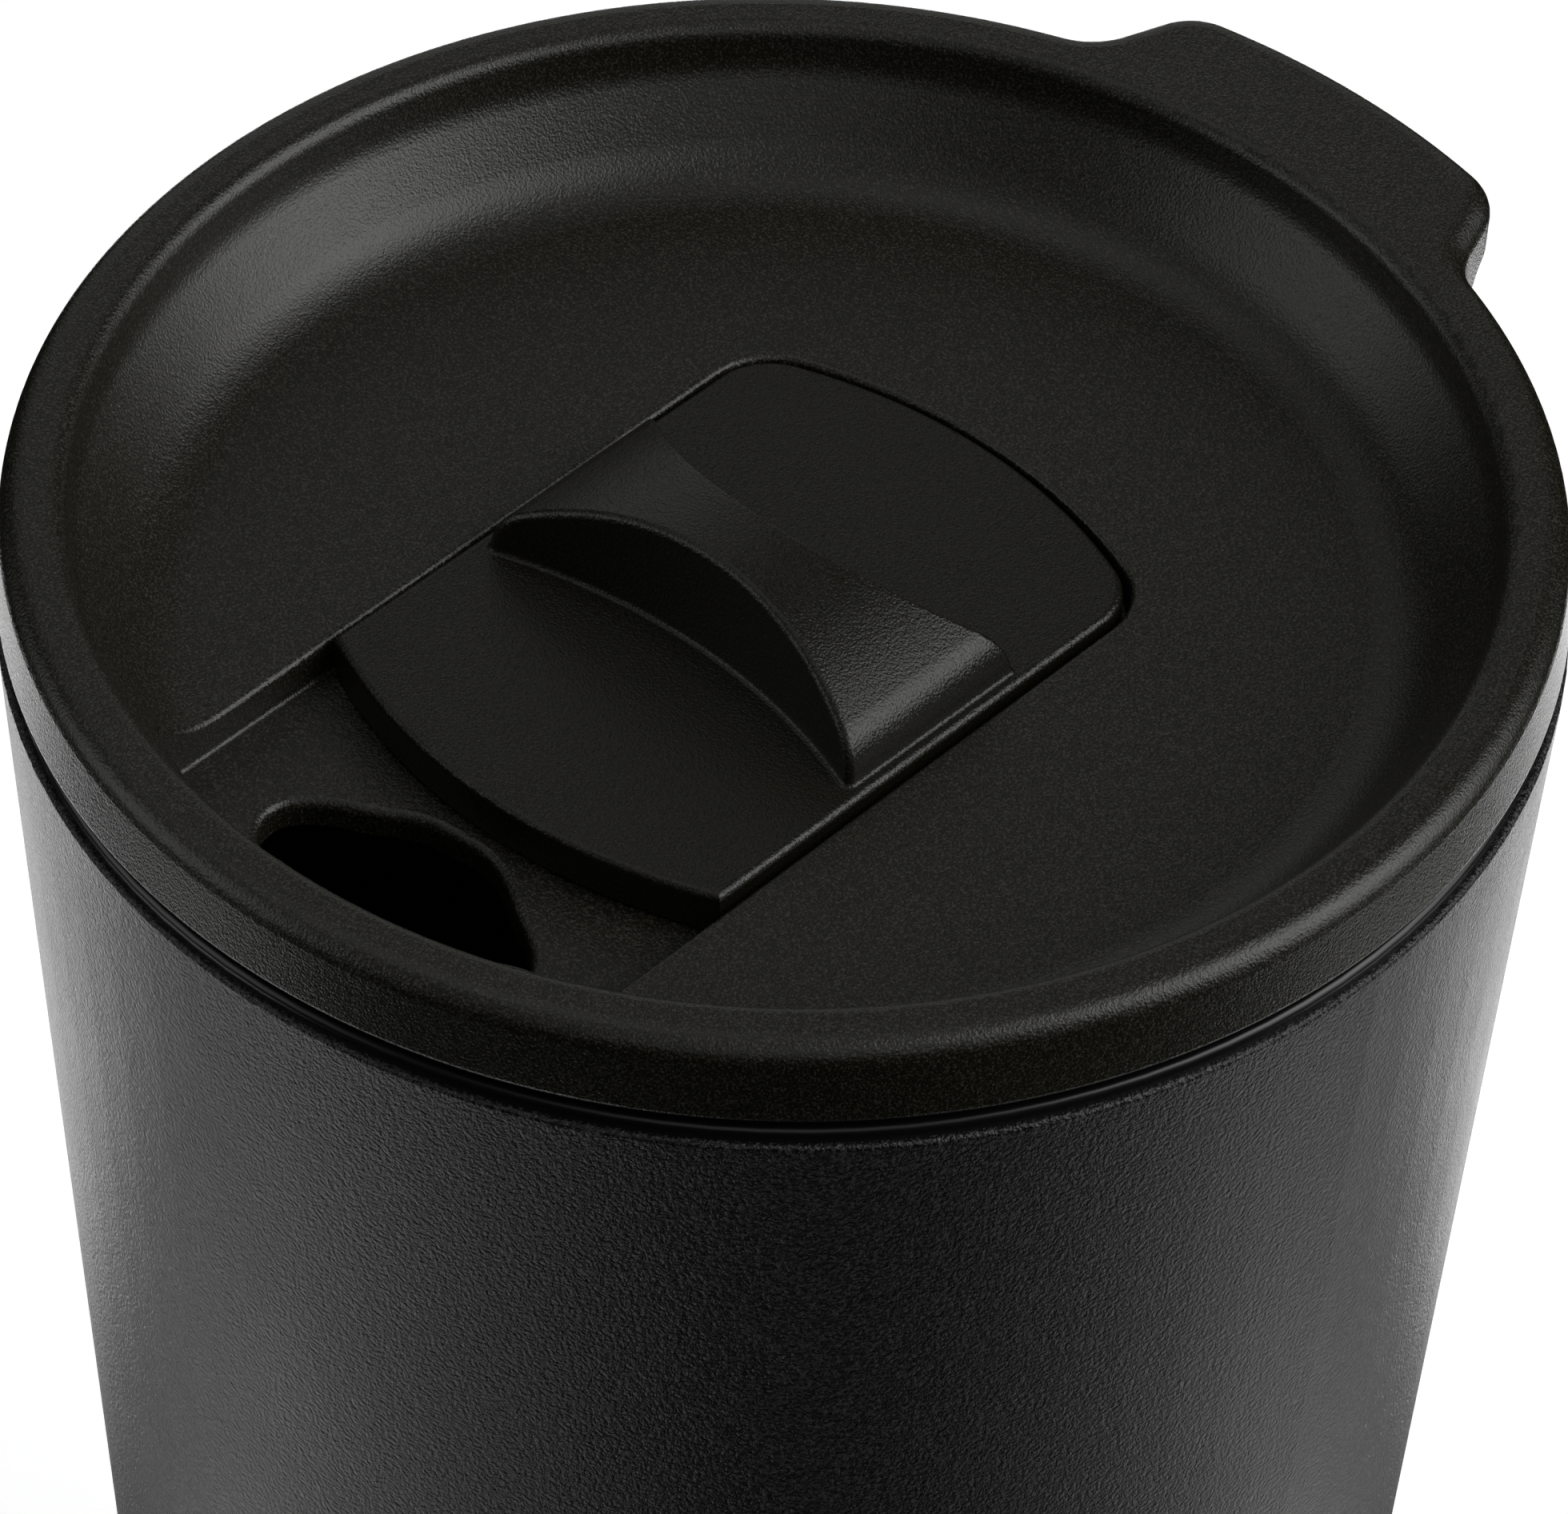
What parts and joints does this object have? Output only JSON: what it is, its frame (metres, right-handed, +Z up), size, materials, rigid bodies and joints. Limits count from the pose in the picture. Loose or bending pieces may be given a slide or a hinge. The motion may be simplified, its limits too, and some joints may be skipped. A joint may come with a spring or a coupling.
{
  "type": "insulated travel mug",
  "caption": "Tapered double-wall steel travel mug with a push-fit dished lid, thumb tab and a sliding closure over its bell-shaped drink hole.",
  "frame": {"origin": "centre of the base, on the underside of the rubber foot, on the cup's axis", "axes": "+Z up along the cup's axis to the lid; -Y to the side that is drunk from; +Y to the lid's thumb tab; +X to the right when looking along +Y"},
  "size_m": [0.0878, 0.0928, 0.1707],
  "materials": {
    "powder_coat": "fine-textured black powder coat",
    "liner_steel": "satin stainless steel, with the lip coated black",
    "base_steel": "pressed stainless sheet",
    "foil": "bright copper foil",
    "seal_glass": "dark solder glass bead",
    "getter_alloy": "pressed grey powder pill",
    "foot_rubber": "matte black non-slip rubber",
    "lid_plastic": "spark-eroded matte black polypropylene",
    "lid_base_plastic": "plain matte black polypropylene",
    "slider_plastic": "finer matte black plastic",
    "silicone": "soft black silicone"
  },
  "bodies": {
    "cup": {"outer_shell": "powder_coat", "inner_liner": "liner_steel", "foil_wrap": "foil", "base_plate": "base_steel", "vacuum_seal": "seal_glass", "getter": "getter_alloy", "getter_clip": "base_steel", "foot_pad": "foot_rubber"},
    "lid": {"lid_cover": "lid_plastic", "lid_base": "lid_base_plastic", "lid_gasket": "silicone"},
    "slider": {"slider": "slider_plastic", "slider_gasket": "silicone", "slider_keeper": "lid_base_plastic"}
  },
  "joints": [
    {"name": "lid_lift", "type": "slide", "parent": "cup", "child": "lid", "axis": [0, 0, 1], "range_m": [0, 0.045]},
    {"name": "slider_slide", "type": "slide", "parent": "lid", "child": "slider", "axis": [0, -1, 0], "range_m": [0, 0.0115]}
  ]
}
